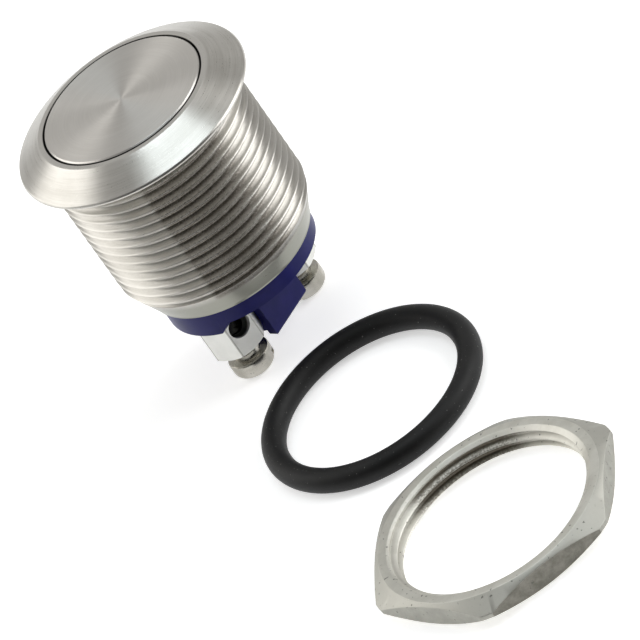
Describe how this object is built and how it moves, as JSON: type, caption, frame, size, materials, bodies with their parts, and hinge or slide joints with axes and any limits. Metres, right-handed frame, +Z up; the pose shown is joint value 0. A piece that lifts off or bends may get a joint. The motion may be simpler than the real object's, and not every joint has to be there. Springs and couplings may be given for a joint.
{
  "type": "anti vandal push button",
  "caption": "Momentary metal push button with a flush round cap, a threaded barrel, screw terminals in a plastic base, and its loose panel seal and panel nut.",
  "frame": {"origin": "on the table, under the middle of the outline of the whole set: the switch, the panel seal and the panel nut", "axes": "+Z up, along the switch's own axis towards its cap; +Y from the panel nut to the switch; +X to the right"},
  "size_m": [0.0286, 0.0666, 0.0283],
  "materials": {
    "turned_steel": "turned, satin",
    "brushed_steel": "fine circular turning marks",
    "nickel_plate": "nickel plated, half gloss",
    "tin_plated_brass": "tin plated, matt",
    "spring_steel": "drawn wire and strip",
    "copper_alloy": "stamped strip",
    "contact_silver": "smooth",
    "blue_plastic": "moulded, satin",
    "white_nylon": "moulded, matt",
    "black_rubber": "moulded, soft sheen"
  },
  "bodies": {
    "switch_set": {"housing": "turned_steel", "return_spring": "spring_steel", "fixed_contact_1": "contact_silver", "fixed_contact_2": "contact_silver", "base": "blue_plastic", "base_seal_ring": "black_rubber", "terminal_post_1": "tin_plated_brass", "terminal_post_2": "tin_plated_brass", "panel_seal_ring": "black_rubber", "panel_nut": "nickel_plate"},
    "button": {"button_cap": "brushed_steel", "cap_seal_ring": "black_rubber", "retaining_clip": "spring_steel", "plunger": "white_nylon", "contact_spring": "spring_steel", "contact_bridge": "copper_alloy", "moving_contact_1": "contact_silver", "moving_contact_2": "contact_silver"},
    "screw_1": {"terminal_screw_1": "nickel_plate"},
    "screw_2": {"terminal_screw_2": "nickel_plate"}
  },
  "joints": [
    {"name": "button_press", "type": "slide", "parent": "switch_set", "child": "button", "axis": [0, 0, -1], "range_m": [0, 0.0015], "stiffness_N_per_m": 1500, "springref_m": -0.001, "deforming": ["return_spring"]},
    {"name": "terminal_screw_1_turn", "type": "hinge", "parent": "switch_set", "child": "screw_1", "pos_m": [-0.00695, 0.01947, 0.0031], "axis": [0, 0, 1], "range_deg": [0, 960]},
    {"name": "terminal_screw_2_turn", "type": "hinge", "parent": "switch_set", "child": "screw_2", "pos_m": [0.00049, 0.02488, 0.0031], "axis": [0, 0, 1], "range_deg": [0, 960]}
  ]
}
